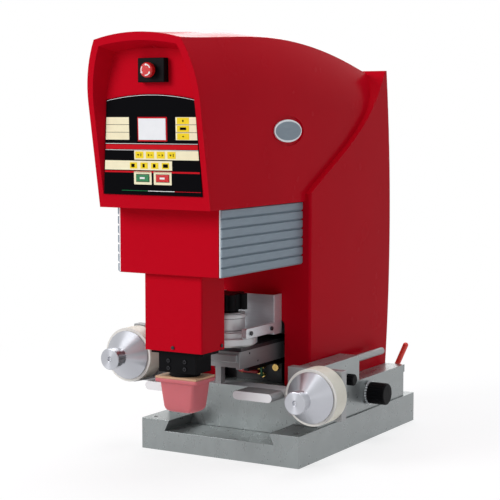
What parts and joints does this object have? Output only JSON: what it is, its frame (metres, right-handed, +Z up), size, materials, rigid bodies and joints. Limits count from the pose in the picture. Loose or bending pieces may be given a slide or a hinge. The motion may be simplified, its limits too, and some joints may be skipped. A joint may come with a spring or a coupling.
{
  "type": "benchtop pad printing machine",
  "caption": "Benchtop closed-cup pad printing machine: ground dovetail base, glossy red column and head, silicone pad, ink cup on a sliding plate, pad-cleaning tape reels.",
  "frame": {"origin": "centre of the base plate's underside", "axes": "+X to the machine's right-hand side as its operator sees it, +Y from the operator to the back, +Z up"},
  "size_m": [0.498, 0.7499, 0.7771],
  "materials": {
    "base_metal": "ground",
    "bush_steel": "turned",
    "black_plastic": "moulded",
    "knob_steel": "knurled",
    "red_cowl": "gloss",
    "red_grip": "dipped",
    "screw_steel": "bright",
    "badge_metal": "satin",
    "panel_black": "film",
    "display_white": "gloss",
    "key_green": "gloss",
    "key_red": "gloss",
    "louvre_metal": "anodised",
    "frame_steel": "satin",
    "bronze": "sintered",
    "bright_steel": "ground",
    "cylinder_metal": "drawn",
    "pad_wood": "plain",
    "pad_silicone": "soft",
    "cup_metal": "polished",
    "ceramic": "ground",
    "bracket_metal": "milled",
    "plate_metal": "etched",
    "bar_white": "moulded",
    "hub_metal": "turned",
    "tape": "matt",
    "brass": "plated",
    "tube": "moulded",
    "board": "plain"
  },
  "bodies": {
    "base": {"base_plate": "base_metal", "mount_bushes": "bush_steel"},
    "machine": {"pedestal": "base_metal", "column_shell": "red_cowl", "rear_cover": "red_cowl", "cover_screws": "screw_steel", "head_shell": "red_cowl", "side_badges": "badge_metal", "control_panel": "panel_black", "display_window": "display_white", "stop_box": "black_plastic", "under_box": "red_cowl", "side_louvres": "louvre_metal", "pad_shroud": "red_cowl", "machine_frame": "frame_steel", "guide_bushes": "bronze", "pad_cylinder": "cylinder_metal", "doctor_ring": "ceramic", "ink_cup": "cup_metal", "cup_bracket": "bracket_metal", "cup_arms": "bracket_metal", "slide_bed": "bracket_metal", "slide_rails": "bright_steel", "slide_cylinder": "cylinder_metal", "rod_housings": "base_metal", "inner_panel": "frame_steel", "brass_fittings": "brass", "air_tubes": "tube", "valve_block": "cylinder_metal", "electronics": "board", "service_panel": "black_plastic"},
    "lever": {"lever_hub": "bush_steel", "lever_grip": "red_grip"},
    "adjuster": {"adjust_spindle": "knob_steel", "adjust_knob": "black_plastic"},
    "pad_unit": {"pad_rods": "bright_steel", "pad_holder": "black_plastic", "pad_screws": "screw_steel", "pad_plate": "pad_wood", "printing_pad": "pad_silicone"},
    "shuttle": {"plate_holder": "bracket_metal", "printing_plate": "plate_metal", "plate_clamp": "bracket_metal", "slide_carriages": "bush_steel", "slide_rod": "bright_steel"},
    "cup_knob": {"cup_star": "black_plastic"},
    "tape_unit": {"guide_bars": "bar_white", "reel_plates": "bracket_metal", "tape_rods": "bright_steel", "tape_strip": "tape"},
    "clamp_right": {"clamp_knob_right": "black_plastic"},
    "clamp_left": {"clamp_knob_left": "black_plastic"},
    "reel_right": {"hub_right": "hub_metal", "roll_right": "tape"},
    "reel_left": {"hub_left": "hub_metal", "roll_left": "tape"},
    "start": {"start_key": "key_green"},
    "stop": {"stop_key": "key_red"},
    "emergency": {"stop_button": "key_red"},
    "rocker": {"rocker_switch": "black_plastic"}
  },
  "joints": [
    {"name": "bed_slide", "type": "slide", "parent": "base", "child": "machine", "axis": [0, 1, 0], "range_m": [-0.06, 0.04]},
    {"name": "lever_turn", "type": "hinge", "parent": "machine", "child": "lever", "pos_m": [0.135, 0.205, 0.096], "axis": [0, 1, 0], "range_deg": [-20, 45]},
    {"name": "adjust_turn", "type": "hinge", "parent": "machine", "child": "adjuster", "pos_m": [0.166, 0.039, 0.092], "axis": [1, 0, 0], "continuous": true},
    {"name": "pad_stroke", "type": "slide", "parent": "machine", "child": "pad_unit", "axis": [0, 0, 1], "range_m": [-0.02, 0.105]},
    {"name": "plate_slide", "type": "slide", "parent": "machine", "child": "shuttle", "axis": [0, -1, 0], "range_m": [0, 0.055]},
    {"name": "star_turn", "type": "hinge", "parent": "machine", "child": "cup_knob", "pos_m": [0, -0.213, 0.268], "axis": [0, 0, 1], "continuous": true},
    {"name": "tape_slide", "type": "slide", "parent": "machine", "child": "tape_unit", "axis": [0, -1, 0], "range_m": [0, 0.055]},
    {"name": "clamp_right_turn", "type": "hinge", "parent": "machine", "child": "clamp_right", "pos_m": [0.17, -0.058, 0.133], "axis": [1, 0, 0], "continuous": true},
    {"name": "clamp_left_turn", "type": "hinge", "parent": "machine", "child": "clamp_left", "pos_m": [-0.17, -0.058, 0.133], "axis": [-1, 0, 0], "continuous": true},
    {"name": "reel_right_spin", "type": "hinge", "parent": "tape_unit", "child": "reel_right", "pos_m": [0.192, -0.228, 0.131], "axis": [0, 1, 0], "continuous": true},
    {"name": "reel_left_spin", "type": "hinge", "parent": "tape_unit", "child": "reel_left", "pos_m": [-0.203, -0.228, 0.175], "axis": [0, 1, 0], "continuous": true},
    {"name": "start_press", "type": "slide", "parent": "machine", "child": "start", "axis": [0, 1, 0], "range_m": [0, 0.0008], "stiffness_N_per_m": 1500},
    {"name": "stop_press", "type": "slide", "parent": "machine", "child": "stop", "axis": [0, 1, 0], "range_m": [0, 0.0008], "stiffness_N_per_m": 1500},
    {"name": "emergency_press", "type": "slide", "parent": "machine", "child": "emergency", "axis": [0, 1, 0], "range_m": [0, 0.004]},
    {"name": "rocker_tip", "type": "hinge", "parent": "machine", "child": "rocker", "pos_m": [-0.002, 0.23, 0.195], "axis": [1, 0, 0], "range_deg": [-8, 8]}
  ],
  "couplings": [
    {"joint": "reel_left_spin", "follows": "reel_right_spin", "ratio": 1}
  ]
}
